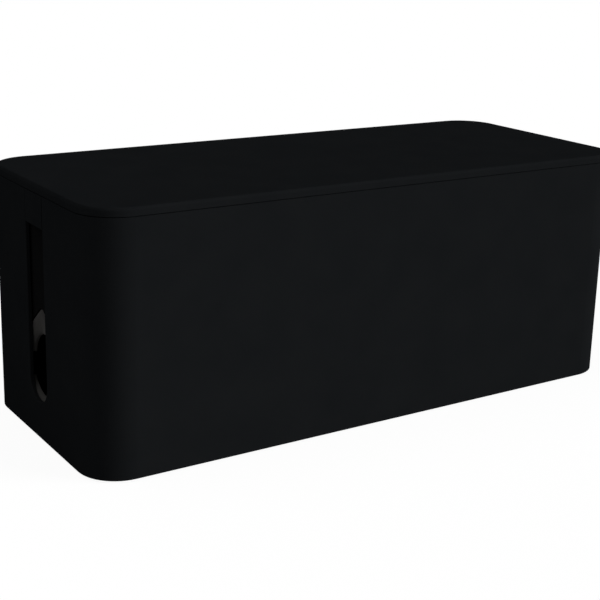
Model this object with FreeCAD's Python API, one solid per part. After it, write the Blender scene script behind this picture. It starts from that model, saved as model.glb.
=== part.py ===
import FreeCAD, Part
import math
import os

from FreeCAD import Vector

# Cable management box: a tub with a cord slot in each end wall and a flat lid that lifts off.
# Millimetres. X runs along the box, the front is at -Y, and z = 0 is the surface that it stands on.
# The left end is at -X. End pieces are drawn for the left end and mirrored for the right one.

# Overall size
overall_length = 400.0
overall_depth = 165.0
overall_height = 160.0
corner_radius = 26.0

# Tub
wall_thickness = 2.2
floor_thickness = 2.5
draft_degrees = 0.3
floor_corner_bevel = 3.0
base_chamfer = 0.5
rim_thickness = 0.9
shoulder_chamfer = 0.35
seam_gap = 0.5

# Lid
lid_thickness = 2.5
lid_side_height = 5.0
lid_edge_radius = 2.0
skirt_clearance = 0.3
lid_rib_thickness = 1.4
lid_rib_height = 3.0
lip_clearance = 0.8
lip_end_clearance = 3.0
cross_rib_count = 5
cross_rib_inset = 36.0
long_rib_spacing = 66.0

# Cord slots, open at the rim and round at the bottom, which lies a little under the cord port
slot_width = 26.0
slot_below_port = 2.5
slot_chamfer = 0.4

# Round cord port that the soft guards leave open in the lower part of each slot
port_radius = 19.5
port_height = 47.0

# Soft cradle under the cords, behind the end wall
cradle_width = 10.0
cradle_depth = 3.2
cradle_bevel = 1.8
cradle_half_angle = 58.0
cradle_seat_thickness = 1.6

# Tongue that hangs from the lid behind a slot, with a pointed arch that is wider than the slot
tongue_setback = 1.2
tongue_thickness = 2.0
arch_width = 38.0
arch_slope_degrees = 38.0
arch_crown_radius = 5.0
tongue_leg_width = 5.0
tongue_leg_length = 17.8
plug_clearance = 0.4
tongue_rib_thickness = 1.6
tongue_rib_depth = 4.0
mouth_plug_height = 19.7
flange_depth = 12.0
flange_thickness = 2.0
gusset_height = 14.0

# Soft hood over the cords: a nose through the tongue's arch and a pad behind the tongue
hood_width = 16.8
hood_port_radius = 14.0
hood_wall_gap = 0.5
hood_nose_gap = 0.4
hood_bevel_width = 2.6
hood_bevel_depth = 2.4
hood_port_bevel = 1.6
hood_side_clearance = 0.4
hood_pad_depth = 2.4
hood_pad_rise = 10.0
hood_pad_drop = 11.0

# Screws and bosses that hold a tongue to the lid
boss_radius = 3.5
boss_height = 6.0
boss_spacing = 20.0
screw_radius = 1.5
screw_length = 7.0
screw_head_radius = 2.8
screw_head_height = 1.9
screw_hole_clearance = 0.2
pilot_clearance = 0.05
pilot_spare_depth = 0.4

# Rubber feet
foot_radius = 7.0
foot_thickness = 2.0
foot_recess = 0.8
foot_clearance = 0.3
foot_chamfer = 0.5
foot_inset = 32.0

# How far cutting shapes run past what they cut
overrun = 5.0

# Heights nearer to each other than this count as the same
same_height = 0.0001

# Heights and places that follow from the sizes above
draft_slope = math.tan(math.radians(draft_degrees))
base_z = foot_thickness - foot_recess
cavity_z = base_z + floor_thickness
lid_bottom = overall_height - lid_side_height
lid_underside = overall_height - lid_thickness
shoulder_z = lid_bottom - seam_gap
skirt_thickness = wall_thickness - rim_thickness - skirt_clearance
slot_arc_z = port_height - port_radius - slot_below_port + slot_width / 2
end_x = -overall_length / 2
tongue_front = wall_thickness + tongue_setback
tongue_back = tongue_front + tongue_thickness
tongue_half_width = arch_width / 2 + tongue_leg_width
arch_crown_z = port_height + port_radius + hood_width
arch_slope = math.radians(arch_slope_degrees)
arch_peak_z = arch_crown_z + arch_crown_radius * (1 / math.cos(arch_slope) - 1)
arch_eaves_z = arch_peak_z - arch_width / 2 * math.tan(arch_slope)
tongue_foot_z = arch_eaves_z - tongue_leg_length
plug_bottom_z = shoulder_z - mouth_plug_height
boss_bottom_z = lid_underside - boss_height
boss_depth = tongue_back + flange_depth / 2
hood_half_width = tongue_half_width - tongue_rib_thickness - hood_side_clearance
end_wall_run = wall_thickness + (shoulder_z - base_z) * draft_slope

along_x = Vector(1, 0, 0)
up = Vector(0, 0, 1)


def rounded_outline(length, depth, radius, z):
    """Rounded rectangle about the z axis, at height z."""
    half_x = length / 2
    half_y = depth / 2
    diagonal = radius * math.sqrt(0.5)
    edges = []
    for quarter in range(4):
        turn = math.radians(90 * quarter)
        next_turn = turn + math.radians(90)
        cos, sin = round(math.cos(turn)), round(math.sin(turn))
        reach = half_x if quarter % 2 == 0 else half_y
        side = half_y if quarter % 2 == 0 else half_x
        out = Vector(cos, sin, 0)
        ahead = Vector(round(math.cos(next_turn)), round(math.sin(next_turn)), 0)
        centre = out * (reach - radius) + ahead * (side - radius) + up * z
        line_start = out * reach - ahead * (side - radius) + up * z
        arc_start = centre + out * radius
        arc_middle = centre + (out + ahead) * diagonal
        arc_end = centre + ahead * radius
        edges.append(Part.LineSegment(line_start, arc_start).toShape())
        edges.append(Part.Arc(arc_start, arc_middle, arc_end).toShape())
    return Part.Wire(edges)


def tub_outline(offset, z):
    """The tub's outside at height z, taken in by offset. The draft makes it smaller lower down."""
    inset = offset + (shoulder_z - z) * draft_slope
    length = overall_length - 2 * inset
    depth = overall_depth - 2 * inset
    return rounded_outline(length, depth, corner_radius - inset, z)


def tub_block(*levels):
    """Solid through the tub's outlines, each given by how far it is taken in and by its height."""
    outlines = [tub_outline(offset, z) for offset, z in levels]
    return Part.makeLoft(outlines, True, True)


def upright_block(inset, low, high):
    """Solid with the lid's outline, taken in by inset, and upright sides."""
    length = overall_length - 2 * inset
    depth = overall_depth - 2 * inset
    face = Part.Face(rounded_outline(length, depth, corner_radius - inset, low))
    return face.extrude(up * (high - low))


def box_between(low, high):
    """Box from its lowest corner to its highest."""
    size = high - low
    return Part.makeBox(size.x, size.y, size.z, low)


def edges_at(shape, z):
    """Edges of shape that lie flat at height z."""
    flat = []
    for edge in shape.Edges:
        box = edge.BoundBox
        if abs(box.ZMin - z) < same_height and abs(box.ZMax - z) < same_height:
            flat.append(edge)
    return flat


def end_block(depth_low, depth_high, half_width, low, high):
    """Box at the left end, from one depth behind the end wall's outside to another."""
    low_corner = Vector(end_x + depth_low, -half_width, low)
    high_corner = Vector(end_x + depth_high, half_width, high)
    return box_between(low_corner, high_corner)


def lean(shape):
    """Turn an upright end piece about the tub's shoulder, to lie along the drafted end wall."""
    shape = shape.copy()
    shape.rotate(Vector(end_x, 0, shoulder_z), Vector(0, 1, 0), -draft_degrees)
    return shape


def other_end(shape):
    """The same piece at the right end."""
    return shape.mirror(Vector(0, 0, 0), along_x)


def both_ends(shape):
    """A piece of the left end, with the same piece at the right end."""
    return [shape, other_end(shape)]


def slot_outline(half_width, arc_z, high, depth):
    """U across the left end: straight sides up to high, and a half round at the bottom."""
    x = end_x + depth
    top_left = Vector(x, -half_width, high)
    low_left = Vector(x, -half_width, arc_z)
    bottom = Vector(x, 0, arc_z - half_width)
    low_right = Vector(x, half_width, arc_z)
    top_right = Vector(x, half_width, high)
    edges = [
        Part.LineSegment(top_left, low_left).toShape(),
        Part.Arc(low_left, bottom, low_right).toShape(),
        Part.LineSegment(low_right, top_right).toShape(),
        Part.LineSegment(top_right, top_left).toShape(),
    ]
    return Part.Wire(edges)


def slot_block(high, *levels):
    """Block of a slot's shape, open upwards to high, through the half widths given at each depth."""
    outlines = [slot_outline(half_width, slot_arc_z, high, depth) for half_width, depth in levels]
    return Part.makeLoft(outlines, True, True)


def port_block(arc_z, low, *levels):
    """The same for the hood's port: the half round is at the top and the sides run down to low."""
    high = 2 * arc_z - low
    outlines = [slot_outline(half_width, arc_z, high, depth) for half_width, depth in levels]
    return Part.makeLoft(outlines, True, True).mirror(Vector(0, 0, arc_z), up)


def arch_outline(offset, low, depth):
    """Pointed arch across the left end, taken in by offset: two legs, two slopes and a round crown."""
    x = end_x + depth
    half_width = arch_width / 2 - offset
    radius = arch_crown_radius - offset
    peak_z = arch_peak_z - offset / math.cos(arch_slope)
    eaves_z = peak_z - half_width * math.tan(arch_slope)
    half_crown = radius * math.sin(arch_slope)
    crown_side_z = peak_z - half_crown * math.tan(arch_slope)
    crown_z = peak_z - radius * (1 / math.cos(arch_slope) - 1)
    left = [(-half_width, low), (-half_width, eaves_z), (-half_crown, crown_side_z)]
    right = [(-y, z) for y, z in reversed(left)]
    corners = [Vector(x, y, z) for y, z in left + right]
    edges = []
    for start, end in zip(corners, corners[1:] + corners[:1]):
        edges.append(Part.LineSegment(start, end).toShape())
    crown = len(left) - 1
    edges[crown] = Part.Arc(corners[crown], Vector(x, 0, crown_z), corners[crown + 1]).toShape()
    return Part.Wire(edges)


def arch_block(low, *levels):
    """Block of the arch's shape, down to low, through the offsets given at each depth."""
    outlines = [arch_outline(offset, low, depth) for offset, depth in levels]
    return Part.makeLoft(outlines, True, True)


def turned_about_port(section, half_angle, towards):
    """Solid swept about the port's axis by a section drawn above it, to each side of a direction."""
    axis_point = Vector(0, 0, port_height)
    section = section.copy()
    section.rotate(axis_point, along_x, towards - 90 - half_angle)
    return section.revolve(axis_point, along_x, 2 * half_angle)


def seat_ring():
    """Curved ledge under the cradle, rooted in the end wall."""
    low = port_height + port_radius + cradle_width
    start = Vector(end_x + wall_thickness / 2, 0, low)
    run = along_x * (cradle_depth + wall_thickness / 2)
    rise = up * cradle_seat_thickness
    corners = [start, start + run, start + run + rise, start + rise]
    section = Part.Face(Part.makePolygon(corners + corners[:1]))
    return turned_about_port(section, cradle_half_angle, -90)


def make_cradle():
    """Soft cradle: the lower part of a ring round the cord port, bevelled towards the outside."""
    front = end_x + wall_thickness
    back = front + cradle_depth
    inner = port_height + port_radius
    outer = inner + cradle_width
    corners = [
        Vector(back, 0, inner),
        Vector(front + cradle_bevel, 0, inner),
        Vector(front, 0, inner + cradle_bevel),
        Vector(front, 0, outer),
        Vector(back, 0, outer),
    ]
    section = Part.Face(Part.makePolygon(corners + corners[:1]))
    return lean(turned_about_port(section, cradle_half_angle, -90))


def make_tub():
    """Tub with a stepped rim, drafted walls, cord slots, cradle seats and recesses for the feet."""
    outside = tub_block(
        (base_chamfer, base_z),
        (0, base_z + base_chamfer),
        (0, shoulder_z - shoulder_chamfer),
        (shoulder_chamfer, shoulder_z),
    )
    rim_offset = wall_thickness - rim_thickness
    rim = tub_block((rim_offset, cavity_z), (rim_offset, lid_underside))
    high = lid_underside + overrun
    cavity = tub_block(
        (wall_thickness + floor_corner_bevel, cavity_z),
        (wall_thickness, cavity_z + floor_corner_bevel),
        (wall_thickness, high),
    )
    tub = outside.fuse(rim).cut(cavity)

    half_slot = slot_width / 2
    slot = slot_block(high, (half_slot, -overrun), (half_slot, end_wall_run + overrun))
    mouth = slot_block(high, (half_slot + 2 * slot_chamfer, -slot_chamfer), (half_slot, slot_chamfer))
    tub = tub.fuse(both_ends(lean(seat_ring())))
    tub = tub.cut(both_ends(slot) + both_ends(lean(mouth)))

    recess_radius = foot_radius + foot_clearance
    for x, y in foot_places().values():
        start = Vector(x, y, base_z - overrun)
        tub = tub.cut(Part.makeCylinder(recess_radius, foot_recess + overrun, start))
    return tub.removeSplitter()


def foot_places():
    """Centre of each foot."""
    x = overall_length / 2 - foot_inset
    y = overall_depth / 2 - foot_inset
    return {
        "foot_front_left": (-x, -y),
        "foot_front_right": (x, -y),
        "foot_back_left": (-x, y),
        "foot_back_right": (x, y),
    }


def make_foot(x, y):
    """Round rubber foot, with its lower edge chamfered."""
    foot = Part.makeCylinder(foot_radius, foot_thickness, Vector(x, y, 0))
    return foot.makeChamfer(foot_chamfer, edges_at(foot, 0))


def make_lid():
    """Flat lid with a low skirt, a locating lip, stiffening ribs and bosses for the tongues."""
    lid = upright_block(0, lid_bottom, overall_height)
    lid = lid.makeFillet(lid_edge_radius, edges_at(lid, overall_height))
    lid = lid.cut(upright_block(skirt_thickness, lid_bottom - overrun, lid_underside))

    rib_low = lid_underside - lid_rib_height
    rib_high = lid_underside + lid_thickness / 2
    lip_offset = wall_thickness + lip_clearance
    lip = upright_block(lip_offset, rib_low, rib_high)
    lip = lip.cut(upright_block(lip_offset + lid_rib_thickness, rib_low - overrun, rib_high + overrun))
    gap = end_block(-overrun, boss_depth, tongue_half_width + lip_end_clearance, rib_low, rib_high)
    lid = lid.fuse([lip.cut(both_ends(gap))] + lid_ribs(rib_low, rib_high, lip_offset))

    for x, y in boss_places():
        boss = Part.makeCylinder(boss_radius, boss_height + lid_thickness / 2, Vector(x, y, boss_bottom_z))
        lid = lid.fuse(both_ends(boss))
    for x, y in boss_places():
        pilot_depth = screw_length - flange_thickness + pilot_spare_depth
        start = Vector(x, y, boss_bottom_z - overrun)
        pilot = Part.makeCylinder(screw_radius + pilot_clearance, pilot_depth + overrun, start)
        lid = lid.cut(both_ends(pilot))
    return lid.removeSplitter()


def lid_ribs(rib_low, rib_high, lip_offset):
    """Cross ribs and long ribs under the lid, which end in the locating lip."""
    half_rib = lid_rib_thickness / 2
    reach_x = overall_length / 2 - lip_offset - half_rib
    reach_y = overall_depth / 2 - lip_offset - half_rib
    ribs = []
    first_x = cross_rib_inset - overall_length / 2
    step = -2 * first_x / (cross_rib_count - 1)
    for index in range(cross_rib_count):
        x = first_x + index * step
        low = Vector(x - half_rib, -reach_y, rib_low)
        high = Vector(x + half_rib, reach_y, rib_high)
        ribs.append(box_between(low, high))
    for y in (-long_rib_spacing / 2, long_rib_spacing / 2):
        low = Vector(-reach_x, y - half_rib, rib_low)
        high = Vector(reach_x, y + half_rib, rib_high)
        ribs.append(box_between(low, high))
    return ribs


def boss_places():
    """Centres of the two bosses at the left end."""
    x = end_x + boss_depth
    return [(x, -boss_spacing / 2), (x, boss_spacing / 2)]


def make_tongue():
    """Tongue: a plug flush with the end wall, a panel behind the slot with an arched end, and a flange."""
    top = lid_underside + overrun
    plug = end_block(0, tongue_front, slot_width / 2 - plug_clearance, plug_bottom_z, shoulder_z)
    panel = end_block(tongue_front, tongue_back, tongue_half_width, tongue_foot_z, top)
    arch = arch_block(tongue_foot_z - overrun, (0, tongue_front - overrun), (0, tongue_back + overrun))
    tongue = panel.cut(arch).fuse(plug)
    rib_offset = tongue_half_width - tongue_rib_thickness
    rib_back = tongue_back + tongue_rib_depth
    channel = end_block(tongue_back, rib_back, tongue_half_width, tongue_foot_z, top)
    channel = channel.cut(end_block(tongue_back, rib_back, rib_offset, tongue_foot_z, top))
    tongue = lean(tongue.fuse(channel))
    reach = tongue_half_width + overrun
    tongue = tongue.cut(end_block(-overrun, rib_back + overrun, reach, lid_underside, top + overrun))

    flange_low = boss_bottom_z - flange_thickness
    flange_reach = tongue_back + flange_depth
    middle_depth = (tongue_front + tongue_back) / 2
    flange = end_block(middle_depth, flange_reach, tongue_half_width, flange_low, boss_bottom_z)
    tongue = tongue.fuse([flange, gusset(middle_depth, flange_reach, flange_low)])
    for x, y in boss_places():
        start = Vector(x, y, flange_low - overrun)
        hole = Part.makeCylinder(screw_radius + screw_hole_clearance, flange_thickness + 2 * overrun, start)
        tongue = tongue.cut(hole)
    return tongue.removeSplitter()


def gusset(depth_low, depth_high, high):
    """Triangular rib between the panel and the flange, midway between the screws."""
    half = tongue_rib_thickness / 2
    corners = [
        Vector(end_x + depth_low, -half, high),
        Vector(end_x + depth_high, -half, high),
        Vector(end_x + depth_low, -half, high - gusset_height),
    ]
    return Part.Face(Part.makePolygon(corners + corners[:1])).extrude(Vector(0, tongue_rib_thickness, 0))


def make_hood():
    """Soft hood: a nose fills the tongue's arch down to the cord port, and a pad behind carries it."""
    front = wall_thickness + hood_wall_gap
    back = tongue_back + hood_pad_depth
    nose = arch_block(
        tongue_foot_z,
        (hood_nose_gap + hood_bevel_width, front),
        (hood_nose_gap, front + hood_bevel_depth),
        (hood_nose_gap, tongue_back),
    )
    pad_low = arch_crown_z - hood_pad_drop
    pad = end_block(tongue_back, back, hood_half_width, pad_low, arch_crown_z + hood_pad_rise)
    hood = nose.fuse(pad)

    arc_z = port_height + port_radius - hood_port_radius
    low = tongue_foot_z - overrun
    port = port_block(arc_z, low, (hood_port_radius, -overrun), (hood_port_radius, back + overrun))
    flare = port_block(
        arc_z,
        low,
        (hood_port_radius + 2 * hood_port_bevel, front - hood_port_bevel),
        (hood_port_radius, front + hood_port_bevel),
    )
    return lean(hood.cut([port, flare])).removeSplitter()


def make_screws():
    """The two screws of one tongue, heads down, as separate solids."""
    screws = []
    head_z = boss_bottom_z - flange_thickness
    for x, y in boss_places():
        head_start = Vector(x, y, head_z - screw_head_height)
        head = Part.makeCylinder(screw_head_radius, screw_head_height, head_start)
        shank = Part.makeCylinder(screw_radius, screw_length, Vector(x, y, head_z))
        screws.append(head.fuse(shank).removeSplitter())
    return Part.makeCompound(screws)


def save(shape, node):
    """Write one node's solids."""
    shape.exportStep(os.path.join("parts", node + ".step"))


def main():
    os.makedirs("parts", exist_ok=True)
    save(make_tub(), "box_tub")
    save(make_lid(), "lid")
    end_pieces = {
        "slot_tongue": make_tongue(),
        "cord_hood": make_hood(),
        "cord_cradle": make_cradle(),
        "tongue_screws": make_screws(),
    }
    for name, piece in end_pieces.items():
        save(piece, "left_" + name)
        save(other_end(piece), "right_" + name)
    for name, (x, y) in foot_places().items():
        save(make_foot(x, y), name)


main()
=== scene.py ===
import math
from collections import namedtuple

import bmesh
import bpy
from mathutils import Matrix, Vector


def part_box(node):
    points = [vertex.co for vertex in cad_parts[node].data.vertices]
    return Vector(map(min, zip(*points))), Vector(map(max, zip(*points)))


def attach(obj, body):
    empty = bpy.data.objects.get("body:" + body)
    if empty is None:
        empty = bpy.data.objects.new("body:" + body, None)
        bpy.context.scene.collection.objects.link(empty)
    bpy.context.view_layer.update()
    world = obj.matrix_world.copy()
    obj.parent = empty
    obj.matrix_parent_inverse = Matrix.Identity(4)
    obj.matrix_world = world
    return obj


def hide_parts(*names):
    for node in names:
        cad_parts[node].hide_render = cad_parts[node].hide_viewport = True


# Cable management box: finish, soft guards, feet, screws, floor, light and camera. Metres and radians.

Lamp = namedtuple("Lamp", "level bearing elevation spread")
Finish = namedtuple("Finish", "dark light roughness specular patch_scale grain_scale grain_height")

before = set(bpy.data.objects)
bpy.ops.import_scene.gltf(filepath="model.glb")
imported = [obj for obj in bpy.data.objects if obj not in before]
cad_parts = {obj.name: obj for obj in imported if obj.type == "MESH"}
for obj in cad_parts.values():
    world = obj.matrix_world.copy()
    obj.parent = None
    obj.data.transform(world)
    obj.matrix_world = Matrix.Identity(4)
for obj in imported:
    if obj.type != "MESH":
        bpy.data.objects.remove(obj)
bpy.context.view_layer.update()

millimetre = 0.001
quarter_turn = math.pi / 2
white = (1, 1, 1)

# Camera, fitted to the outline of the box in the photograph: its place, how it is turned, and its lens.
# The lens is shifted down a little, because the photograph's upright edges are nearly parallel.
camera_place = Vector((-0.4679, -0.6894, 0.3151))
camera_heading = 0.5827
camera_tilt = 0.2504
camera_roll = -0.0262
lens_drop_share = 0.1
focal_pixels = 1278.1
frame_pixels = 600
sensor_millimetres = 36.0
nearest_seen = 0.01
furthest_seen = 60.0

# Lamps: level is what each gives a surface turned to it, as a share of what shows a colour as written.
# Angles are in degrees, and the bearing is 0 at the front and turns towards +X.
lamps = {
    "key": Lamp(level=1.0, bearing=50, elevation=16, spread=30),
    "top": Lamp(level=0.22, bearing=-90, elevation=66, spread=60),
    "back": Lamp(level=0.15, bearing=172, elevation=12, spread=40),
    "side": Lamp(level=0.06, bearing=-100, elevation=40, spread=60),
}
surround_level = 0.105

# Floor: its paint for the light that it throws back, and the white that the eye gets
floor_size = 40.0
floor_paint = (0.5, 0.5, 0.5)
floor_glow = 1.17
floor_glow_share = 0.8

# Finishes: two colours that faint patches and a fine grain mix, the range of the roughness,
# the mirror share, the waves per metre of the patches and of the grain, and the grain's height
tub_finish = Finish(
    dark=(0.0078, 0.0088, 0.0098),
    light=(0.0112, 0.0120, 0.0128),
    roughness=(0.55, 0.68),
    specular=0.0,
    patch_scale=38,
    grain_scale=2600,
    grain_height=0.03 * millimetre,
)
# Tongue's recessed panel: its colours are the black darkened as painted shade for the recess; its
# roughness and grain are its own
panel_finish_with_painted_shade = Finish(
    dark=(0.0048, 0.0050, 0.0052),
    light=(0.0074, 0.0076, 0.0078),
    roughness=(0.6, 0.72),
    specular=0.0,
    patch_scale=60,
    grain_scale=2200,
    grain_height=0.03 * millimetre,
)
guard_finish = Finish(
    dark=(0.033, 0.032, 0.031),
    light=(0.046, 0.0445, 0.043),
    roughness=(0.7, 0.85),
    specular=0.02,
    patch_scale=160,
    grain_scale=3600,
    grain_height=0.02 * millimetre,
)
foot_finish = Finish(
    dark=(0.014, 0.014, 0.014),
    light=(0.026, 0.026, 0.026),
    roughness=(0.75, 0.9),
    specular=0.0,
    patch_scale=220,
    grain_scale=3000,
    grain_height=0.03 * millimetre,
)
patch_detail = 4
grain_detail = 2
patch_share = (0.45, 1.0)
grain_share = (0.3, 1.0)

# The values between which most of a noise lies
noise_low = 0.3
noise_high = 0.7

# Screw steel: colours and roughness that clouds vary, and fine pits
steel_dark = (0.46, 0.46, 0.47)
steel_light = (0.62, 0.62, 0.61)
steel_roughness = (0.25, 0.4)
cloud_scale = 900
cloud_detail = 4
pit_scale = 9000
pit_detail = 1
pit_depth = 0.02 * millimetre

# End walls, the round port at the foot of each slot, and where the left end is
port_height = 47.0 * millimetre
port_radius = 19.5 * millimetre
shoulder_height = 154.5 * millimetre
draft = math.radians(0.3)
wall = 2.2 * millimetre
end_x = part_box("lid")[0].x

# Tongue: how far in from the lid's end the plug's colour starts to fade into the panel's painted shade,
# and where it has gone
plug_fade_start = 1.0 * millimetre
plug_fade_end = 2.0 * millimetre

# Hood: a rounded nose through the tongue's pointed arch, on a pad behind the tongue
hood_port_radius = 14.0 * millimetre
hood_port_height = 52.5 * millimetre
nose_half_width = 18.6 * millimetre
nose_slope = math.radians(38)
nose_peak_height = 84.13 * millimetre
nose_crown_radius = 4.6 * millimetre
nose_front = 2.75 * millimetre
nose_inner_depth = 4.3 * millimetre
nose_crown_drop = 1.2 * millimetre
nose_lip = 1.15 * millimetre
nose_outer_depth = 5.1 * millimetre
nose_outer_round = 3.0 * millimetre
nose_foot_drop = 0.45 * millimetre
nose_steps = 90
nose_curve_steps = 16
pad_front = 5.4 * millimetre
pad_back = 7.8 * millimetre
pad_low = 72.3 * millimetre

# Cradle: the lower part of a ring round the port, with its front edge rounded towards the port
cradle_width = 10.0 * millimetre
cradle_depth = 3.2 * millimetre
cradle_round = 2.4 * millimetre
cradle_gap = 0.1 * millimetre
cradle_turn = math.radians(57.6)
cradle_steps = 48
cradle_round_steps = 8

# Edges of the soft guards, and the angle past which an edge of any piece is shaded sharp
guard_bevel = 0.4 * millimetre
guard_bevel_angle = math.radians(50)
guard_bevel_steps = 3
sharp_angle = math.radians(35)

# Feet, and the steps round the axis of a turned piece
foot_round = 0.6 * millimetre
foot_round_steps = 4
lathe_steps = 64

# Screws: a domed pan head with a cross recess that gets shallower outwards, and a shank
screw_radius = 1.5 * millimetre
head_radius = 2.8 * millimetre
head_height = 1.9 * millimetre
head_dome_share = 0.75
head_rings = 16
recess_radius = 1.5 * millimetre
recess_half_width = 0.32 * millimetre
recess_depth = 1.0 * millimetre
recess_slope = 0.12 * millimetre
recess_rise_share = 0.5


def make_camera():
    """Camera at the photograph's place, looking the same way."""
    ahead = Vector((
        math.sin(camera_heading) * math.cos(camera_tilt),
        math.cos(camera_heading) * math.cos(camera_tilt),
        -math.sin(camera_tilt),
    ))
    level = Vector((math.cos(camera_heading), -math.sin(camera_heading), 0))
    down = ahead.cross(level)
    right = math.cos(camera_roll) * level + math.sin(camera_roll) * down
    image_down = math.cos(camera_roll) * down - math.sin(camera_roll) * level
    data = bpy.data.cameras.new("camera")
    data.sensor_width = sensor_millimetres
    data.lens = focal_pixels / frame_pixels * sensor_millimetres
    data.shift_y = -lens_drop_share
    data.clip_start = nearest_seen
    data.clip_end = furthest_seen
    camera = bpy.data.objects.new("camera", data)
    bpy.context.scene.collection.objects.link(camera)
    turn = Matrix((right, -image_down, -ahead)).transposed()
    camera.matrix_world = Matrix.Translation(camera_place) @ turn.to_4x4()
    bpy.context.scene.camera = camera


def feed(tree, socket, value):
    """Give a socket another's output, a colour or a number."""
    if isinstance(value, bpy.types.NodeSocket):
        tree.links.new(value, socket)
    elif isinstance(value, tuple):
        socket.default_value = (*value, 1)
    else:
        socket.default_value = value


def calculated(tree, operation, first, second):
    """Output of a calculation on two values."""
    node = tree.nodes.new("ShaderNodeMath")
    node.operation = operation
    feed(tree, node.inputs[0], first)
    feed(tree, node.inputs[1], second)
    return node.outputs[0]


def mixed_colour(tree, first, second, share):
    """Output that goes from the first colour to the second as share goes from 0 to 1."""
    node = tree.nodes.new("ShaderNodeMix")
    node.data_type = "RGBA"
    feed(tree, node.inputs["A"], first)
    feed(tree, node.inputs["B"], second)
    feed(tree, node.inputs["Factor"], share)
    return node.outputs["Result"]


def mixed_shader(tree, out, first, second, share):
    """Mix two shaders into the output, with share of the second."""
    node = tree.nodes.new("ShaderNodeMixShader")
    feed(tree, node.inputs[0], share)
    feed(tree, node.inputs[1], first.outputs[0])
    feed(tree, node.inputs[2], second.outputs[0])
    feed(tree, out.inputs[0], node.outputs[0])


def glowing(tree, kind, colour, strength):
    """Background or emission shader of one colour."""
    node = tree.nodes.new(kind)
    feed(tree, node.inputs["Color"], colour)
    feed(tree, node.inputs["Strength"], strength)
    return node


def seen_directly(tree):
    """Output that is 1 for rays from the camera, from reflections and through glass."""
    path = tree.nodes.new("ShaderNodeLightPath")
    straight_or_mirrored = calculated(
        tree, "MAXIMUM", path.outputs["Is Camera Ray"], path.outputs["Is Glossy Ray"])
    return calculated(tree, "MAXIMUM", straight_or_mirrored, path.outputs["Is Transmission Ray"])


def make_world():
    """White surroundings to the eye, at a low level for the light that they give."""
    world = bpy.data.worlds.new("studio")
    world.use_nodes = True
    tree = world.node_tree
    tree.nodes.clear()
    light = glowing(tree, "ShaderNodeBackground", white, surround_level)
    seen = glowing(tree, "ShaderNodeBackground", white, 1.0)
    out = tree.nodes.new("ShaderNodeOutputWorld")
    mixed_shader(tree, out, light, seen, seen_directly(tree))
    bpy.context.scene.world = world


def make_floor():
    """Plain white floor. To the eye it gets most of its white by itself, and keeps a faint shadow."""
    half = floor_size / 2
    corners = [(-half, -half, 0), (half, -half, 0), (half, half, 0), (-half, half, 0)]
    mesh = bpy.data.meshes.new("floor")
    mesh.from_pydata(corners, [], [(0, 1, 2, 3)])
    floor = bpy.data.objects.new("floor", mesh)
    bpy.context.scene.collection.objects.link(floor)
    material = bpy.data.materials.new("floor_white")
    material.use_nodes = True
    tree = material.node_tree
    tree.nodes.clear()
    matt = tree.nodes.new("ShaderNodeBsdfDiffuse")
    feed(tree, matt.inputs["Color"], floor_paint)
    glow = glowing(tree, "ShaderNodeEmission", white, floor_glow)
    out = tree.nodes.new("ShaderNodeOutputMaterial")
    glow_share = calculated(tree, "MULTIPLY", seen_directly(tree), floor_glow_share)
    mixed_shader(tree, out, matt, glow, glow_share)
    mesh.materials.append(material)


def make_lamp(name, lamp):
    """Soft lamp, so far away that its light is the same everywhere."""
    bearing = math.radians(lamp.bearing)
    elevation = math.radians(lamp.elevation)
    data = bpy.data.lights.new(name, "SUN")
    data.energy = lamp.level * math.pi
    data.angle = math.radians(lamp.spread)
    sun = bpy.data.objects.new(name, data)
    bpy.context.scene.collection.objects.link(sun)
    towards = Vector((
        math.sin(bearing) * math.cos(elevation),
        -math.cos(bearing) * math.cos(elevation),
        math.sin(elevation),
    ))
    sun.rotation_euler = (-towards).to_track_quat("-Z", "Y").to_euler()


def noise(tree, coordinates, scale, detail):
    """Noise over the object's own coordinates, with scale in waves per metre."""
    node = tree.nodes.new("ShaderNodeTexNoise")
    feed(tree, node.inputs["Scale"], scale)
    feed(tree, node.inputs["Detail"], detail)
    feed(tree, node.inputs["Vector"], coordinates)
    return node.outputs["Fac"]


def mapped(tree, value, low, high, first=0.0, last=1.0):
    """A value's range from low to high, stretched to go from first to last."""
    node = tree.nodes.new("ShaderNodeMapRange")
    feed(tree, node.inputs["From Min"], low)
    feed(tree, node.inputs["From Max"], high)
    feed(tree, node.inputs["To Min"], first)
    feed(tree, node.inputs["To Max"], last)
    feed(tree, node.inputs["Value"], value)
    return node.outputs["Result"]


def add_bump(tree, shader, height, distance):
    """Tilt a shader's surface by the slopes of a height."""
    node = tree.nodes.new("ShaderNodeBump")
    feed(tree, node.inputs["Distance"], distance)
    feed(tree, node.inputs["Height"], height)
    feed(tree, shader.inputs["Normal"], node.outputs["Normal"])


def plug_share(tree, coordinates):
    """Output that is 1 in the plug, which is flush with the end wall, and 0 in the recessed panel below
    it, which gets painted shade.
    """
    parts = tree.nodes.new("ShaderNodeSeparateXYZ")
    feed(tree, parts.inputs[0], coordinates)
    outward = tree.nodes.new("ShaderNodeMath")
    outward.operation = "ABSOLUTE"
    feed(tree, outward.inputs[0], parts.outputs["X"])
    return mapped(tree, outward.outputs[0], -end_x - plug_fade_end, -end_x - plug_fade_start)


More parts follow.
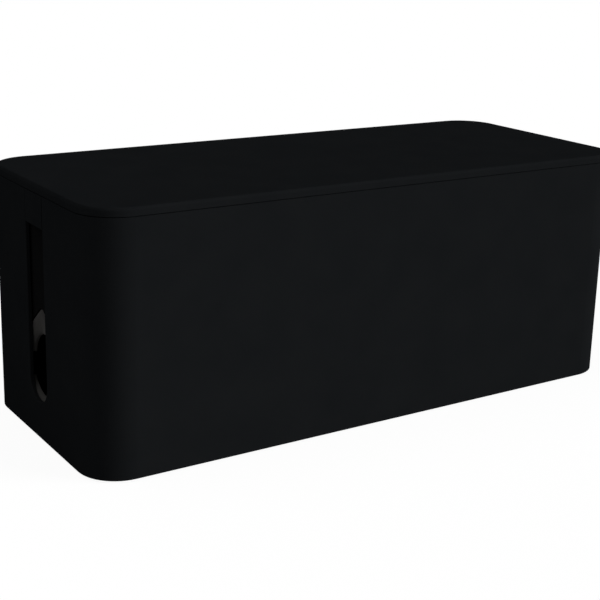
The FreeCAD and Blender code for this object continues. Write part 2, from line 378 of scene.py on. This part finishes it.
def moulded(name, finish, plug_finish=None):
    """Moulded surface in a finish. The plug of a tongue can have the colours of another; then the
    finish's own colours, on the recessed panel, are painted shade.
    """
    material = bpy.data.materials.new(name)
    material.use_nodes = True
    tree = material.node_tree
    shader = tree.nodes["Principled BSDF"]
    coordinates = tree.nodes.new("ShaderNodeTexCoord").outputs["Object"]
    patches = noise(tree, coordinates, finish.patch_scale, patch_detail)
    grain = noise(tree, coordinates, finish.grain_scale, grain_detail)
    share = calculated(
        tree, "MULTIPLY",
        mapped(tree, patches, noise_low, noise_high, *patch_share),
        mapped(tree, grain, noise_low, noise_high, *grain_share),
    )
    colour = mixed_colour(tree, finish.dark, finish.light, share)
    if plug_finish:
        plug_colour = mixed_colour(tree, plug_finish.dark, plug_finish.light, share)
        colour = mixed_colour(tree, colour, plug_colour, plug_share(tree, coordinates))
    roughness = mapped(tree, patches, noise_low, noise_high, *finish.roughness)
    feed(tree, shader.inputs["Base Color"], colour)
    feed(tree, shader.inputs["Roughness"], roughness)
    feed(tree, shader.inputs["Specular IOR Level"], finish.specular)
    add_bump(tree, shader, grain, finish.grain_height)
    return material


def zinc_steel():
    """Zinc plated steel, slightly uneven in colour and shine, with fine pits."""
    material = bpy.data.materials.new("screw_steel")
    material.use_nodes = True
    tree = material.node_tree
    shader = tree.nodes["Principled BSDF"]
    coordinates = tree.nodes.new("ShaderNodeTexCoord").outputs["Object"]
    clouds = noise(tree, coordinates, cloud_scale, cloud_detail)
    pits = noise(tree, coordinates, pit_scale, pit_detail)
    roughness = mapped(tree, clouds, noise_low, noise_high, *steel_roughness)
    feed(tree, shader.inputs["Metallic"], 1.0)
    feed(tree, shader.inputs["Base Color"], mixed_colour(tree, steel_dark, steel_light, clouds))
    feed(tree, shader.inputs["Roughness"], roughness)
    add_bump(tree, shader, pits, pit_depth)
    return material


def paint(node, material):
    """Give a CAD node its finish."""
    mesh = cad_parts[node].data
    mesh.materials.clear()
    mesh.materials.append(material)


def leaning(depth, y, z):
    """Point at the left end, a depth behind the outside of the drafted end wall."""
    return Vector((end_x + depth + (shoulder_height - z) * math.tan(draft), y, z))


def at_end(loops, end):
    """Loops of points at the left end, or the same at the right end."""
    if end == "left":
        return loops
    return [[Vector((-point.x, point.y, point.z)) for point in loop] for loop in loops]


def even_turns(limit, count):
    """Even turns from -limit to limit."""
    return [limit * (2 * step / count - 1) for step in range(count + 1)]


def quarter_swings(count):
    """Even swings from 0 to a quarter turn."""
    return [quarter_turn * step / count for step in range(count + 1)]


def closed_shape(loops):
    """Vertices and faces through closed loops of points, with flat ends."""
    count = len(loops[0])
    vertices = [point for loop in loops for point in loop]
    faces = []
    for here in range(0, len(vertices) - count, count):
        there = here + count
        for k in range(count):
            following = (k + 1) % count
            faces.append((here + k, here + following, there + following, there + k))
    faces.append(tuple(range(count)))
    faces.append(tuple(range(len(vertices) - count, len(vertices))))
    return vertices, faces


def joined(shapes):
    """Vertices and faces of several shapes as one."""
    vertices = []
    faces = []
    for points, polygons in shapes:
        start = len(vertices)
        vertices += points
        faces += [tuple(start + index for index in polygon) for polygon in polygons]
    return vertices, faces


def turned(profile, centre):
    """Loops of a profile of (radius, height) pairs, turned about an upright axis."""
    loops = []
    for radius, height in profile:
        loop = []
        for step in range(lathe_steps):
            angle = 2 * math.pi * step / lathe_steps
            x = centre.x + radius * math.cos(angle)
            y = centre.y + radius * math.sin(angle)
            loop.append(Vector((x, y, height)))
        loops.append(loop)
    return loops


def add_piece(name, shape, material, body, node):
    """Closed mesh that stands for a CAD node."""
    vertices, faces = shape
    mesh = bpy.data.meshes.new(name)
    mesh.from_pydata(vertices, [], faces)
    shaped = bmesh.new()
    shaped.from_mesh(mesh)
    bmesh.ops.recalc_face_normals(shaped, faces=shaped.faces)
    shaped.to_mesh(mesh)
    shaped.free()
    mesh.shade_smooth()
    mesh.set_sharp_from_angle(angle=sharp_angle)
    mesh.materials.append(material)
    piece = bpy.data.objects.new(name, mesh)
    bpy.context.scene.collection.objects.link(piece)
    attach(piece, body)
    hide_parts(node)
    return piece


def soften(piece):
    """Round a guard's sharp edges."""
    bevel = piece.modifiers.new("rounded_edges", "BEVEL")
    bevel.width = guard_bevel
    bevel.segments = guard_bevel_steps
    bevel.limit_method = "ANGLE"
    bevel.angle_limit = guard_bevel_angle
    bevel.harden_normals = True


def nose_reach(turn):
    """How far the nose's outline is from the middle of the hood's port, at a turn from straight up."""
    sine = abs(math.sin(turn))
    cosine = math.cos(turn)
    peak_rise = nose_peak_height - hood_port_height
    reach = peak_rise * math.cos(nose_slope) / math.cos(abs(turn) - nose_slope)
    if reach * sine > nose_half_width:
        return nose_half_width / sine
    if reach * sine > nose_crown_radius * math.sin(nose_slope):
        return reach
    crown_rise = peak_rise - nose_crown_radius / math.cos(nose_slope)
    return crown_rise * cosine + math.sqrt(nose_crown_radius ** 2 - (crown_rise * sine) ** 2)


def nose_loop(turn, drop):
    """Section of the hood's nose at a turn from straight up, let down by drop."""
    edge = nose_reach(turn)
    outer = min(nose_outer_round, (edge - hood_port_radius) / 2)
    inner = edge - hood_port_radius - outer
    inner_depth = nose_inner_depth + nose_crown_drop * math.cos(turn)
    section = [(hood_port_radius, inner_depth + nose_lip)]
    for swing in quarter_swings(nose_curve_steps):
        reach = hood_port_radius + inner * (1 - math.cos(swing))
        section.append((reach, inner_depth - (inner_depth - nose_front) * math.sin(swing)))
    for swing in quarter_swings(nose_curve_steps)[1:]:
        reach = edge - outer * (1 - math.sin(swing))
        section.append((reach, nose_outer_depth - (nose_outer_depth - nose_front) * math.cos(swing)))
    section.append((edge, inner_depth + nose_lip))
    return [
        leaning(depth, reach * math.sin(turn), hood_port_height + reach * math.cos(turn) - drop)
        for reach, depth in section
    ]


def nose_shape(end):
    """Hood's nose from the foot of one leg over the port to the foot of the other."""
    arch = [nose_loop(turn, 0) for turn in even_turns(quarter_turn, nose_steps)]
    feet = [nose_loop(turn, nose_foot_drop) for turn in (-quarter_turn, quarter_turn)]
    return closed_shape(at_end([feet[0], *arch, feet[1]], end))


def pad_shape(end):
    """Hood's pad behind the tongue."""
    low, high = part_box("left_cord_hood")
    corners = [(low.y, pad_low), (high.y, pad_low), (high.y, high.z), (low.y, high.z)]
    loops = [[leaning(depth, y, z) for y, z in corners] for depth in (pad_front, pad_back)]
    return closed_shape(at_end(loops, end))


def cradle_loop(turn):
    """Section of the cradle at a turn from straight down about the port's axis."""
    front = wall + cradle_gap
    back = wall + cradle_depth - cradle_gap
    outer = port_radius + cradle_width - cradle_gap
    section = [(port_radius, back)]
    for swing in quarter_swings(cradle_round_steps):
        reach = port_radius + cradle_round * (1 - math.cos(swing))
        section.append((reach, front + cradle_round * (1 - math.sin(swing))))
    section += [(outer, front), (outer, back)]
    return [
        leaning(depth, reach * math.sin(turn), port_height - reach * math.cos(turn))
        for reach, depth in section
    ]


def cradle_shape(end):
    """Cradle of one end."""
    loops = [cradle_loop(turn) for turn in even_turns(cradle_turn, cradle_steps)]
    return closed_shape(at_end(loops, end))


def add_guards(end, material):
    """Soft hood and cradle of one end."""
    node = end + "_cord_hood"
    shape = joined([nose_shape(end), pad_shape(end)])
    hood = add_piece(node + "_rubber", shape, material, "lid", node)
    soften(hood)
    node = end + "_cord_cradle"
    cradle = add_piece(node + "_rubber", cradle_shape(end), material, "tub", node)
    soften(cradle)


def add_foot(node, material):
    """Round rubber foot with its lower edge rounded."""
    low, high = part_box(node)
    radius = (high.x - low.x) / 2
    profile = []
    for swing in quarter_swings(foot_round_steps):
        height = low.z + foot_round * (1 - math.cos(swing))
        profile.append((radius - foot_round * (1 - math.sin(swing)), height))
    profile.append((radius, high.z))
    shape = closed_shape(turned(profile, (low + high) / 2))
    add_piece(node + "_rubber", shape, material, "tub", node)


def recess(x, y):
    """How deep the cross recess of a screw head is at a place, measured from its axis."""
    radius = math.hypot(x, y)
    off_arm = min(abs(x), abs(y)) - recess_half_width
    off_end = radius - recess_radius
    share = min(max(-max(off_arm, off_end) / recess_slope, 0), 1)
    return recess_depth * share * (1 - recess_rise_share * radius / recess_radius)


def screw_shape(centre, head_low, shank_high):
    """One screw, head down: a domed head with a cross recess, and a shank."""
    head_high = head_low + head_height
    profile = []
    for swing in quarter_swings(head_rings)[1:]:
        rise = head_dome_share * head_height * (1 - math.cos(swing))
        profile.append((head_radius * math.sin(swing), head_low + rise))
    profile += [(head_radius, head_high), (screw_radius, head_high), (screw_radius, shank_high)]
    loops = turned(profile, centre)
    for loop in loops[:head_rings]:
        for point in loop:
            point.z += recess(point.x - centre.x, point.y - centre.y)
    return closed_shape(loops)


def add_screws(end, material):
    """The two screws of one tongue."""
    node = end + "_tongue_screws"
    low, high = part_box(node)
    x = (low.x + high.x) / 2
    centres = [Vector((x, y, 0)) for y in (low.y + head_radius, high.y - head_radius)]
    shape = joined([screw_shape(centre, low.z, high.z) for centre in centres])
    add_piece(node + "_steel", shape, material, "lid", node)


make_camera()
make_world()
make_floor()
for name, lamp in lamps.items():
    make_lamp(name, lamp)

paint("box_tub", moulded("tub_plastic", tub_finish))
paint("lid", moulded("lid_plastic", tub_finish))
# The tongue's recessed panel is painted darker as shade; its plug has the tub's colours
tongue_black_with_painted_shade = moulded("tongue_plastic", panel_finish_with_painted_shade, tub_finish)
guard_grey = moulded("guard_rubber", guard_finish)
foot_black = moulded("foot_rubber", foot_finish)
steel = zinc_steel()
for end in ("left", "right"):
    paint(end + "_slot_tongue", tongue_black_with_painted_shade)
    add_guards(end, guard_grey)
    add_screws(end, steel)
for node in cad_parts:
    if node.startswith("foot_"):
        add_foot(node, foot_black)

bpy.context.scene.view_settings.view_transform = "Standard"
